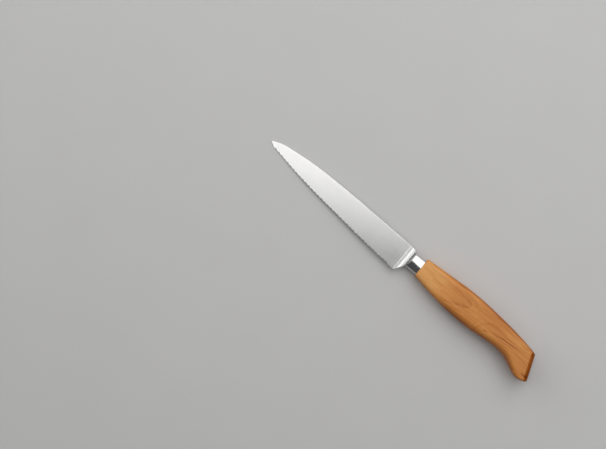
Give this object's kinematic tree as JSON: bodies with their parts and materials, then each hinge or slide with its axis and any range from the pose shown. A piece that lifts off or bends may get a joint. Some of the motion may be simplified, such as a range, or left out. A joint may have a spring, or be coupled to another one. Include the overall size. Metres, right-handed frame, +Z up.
{
  "type": "tomato knife",
  "caption": "Forged kitchen knife with a slim serrated blade, an oval polished neck and a curved wooden handle without rivets, for slicing tomatoes.",
  "frame": {"origin": "on the flat of the right handle scale, which lies on the surface, below the neck's axis at the fullest part of the palm swell", "axes": "+X from the tip towards the butt along the neck's axis, +Y from the cutting edge towards the spine, +Z up out of the left face; the knife lies on its right side"},
  "size_m": [0.2501, 0.028, 0.016],
  "materials": {
    "blade_steel": "satin ground blade with a mirror-polished neck",
    "handle_wood": "oiled olive wood, honey brown with darker figure",
    "bedding_resin": "cured amber adhesive",
    "pin_steel": "drawn stainless wire"
  },
  "bodies": {
    "root": {"blade": "blade_steel", "handle_scale_left": "handle_wood", "handle_scale_right": "handle_wood", "tang_bedding": "bedding_resin", "tang_pin_front": "pin_steel", "tang_pin_rear": "pin_steel"}
  },
  "joints": []
}
